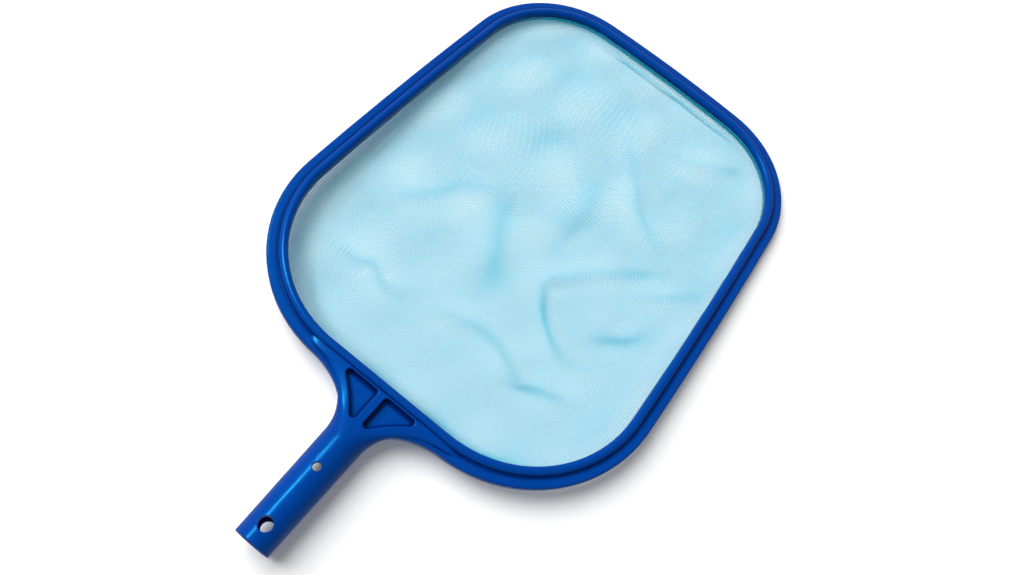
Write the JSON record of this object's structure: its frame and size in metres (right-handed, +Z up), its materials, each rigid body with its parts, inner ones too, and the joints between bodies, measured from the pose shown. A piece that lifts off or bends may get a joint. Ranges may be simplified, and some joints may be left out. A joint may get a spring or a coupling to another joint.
{
  "type": "leaf skimmer net",
  "caption": "Flat pool skimmer: a slack mesh panel clamped in a rounded moulded hoop, with a pocketed gusset and a hollow handle socket for a pole.",
  "frame": {"origin": "centre of the handle socket's mouth", "axes": "+Y from the mouth along the socket to the far side of the hoop, +Z up, out of the open side of the net, X across the hoop"},
  "size_m": [0.2998, 0.484, 0.0272],
  "materials": {
    "frame_plastic": "glossy blue moulding",
    "ring_plastic": "glossy blue moulding",
    "mesh": "fine open weave, pale aqua",
    "cord": "matte twisted cord"
  },
  "bodies": {
    "root": {"frame": "frame_plastic", "retaining_ring": "ring_plastic", "net": "mesh", "net_edge_cord": "cord"}
  },
  "joints": []
}
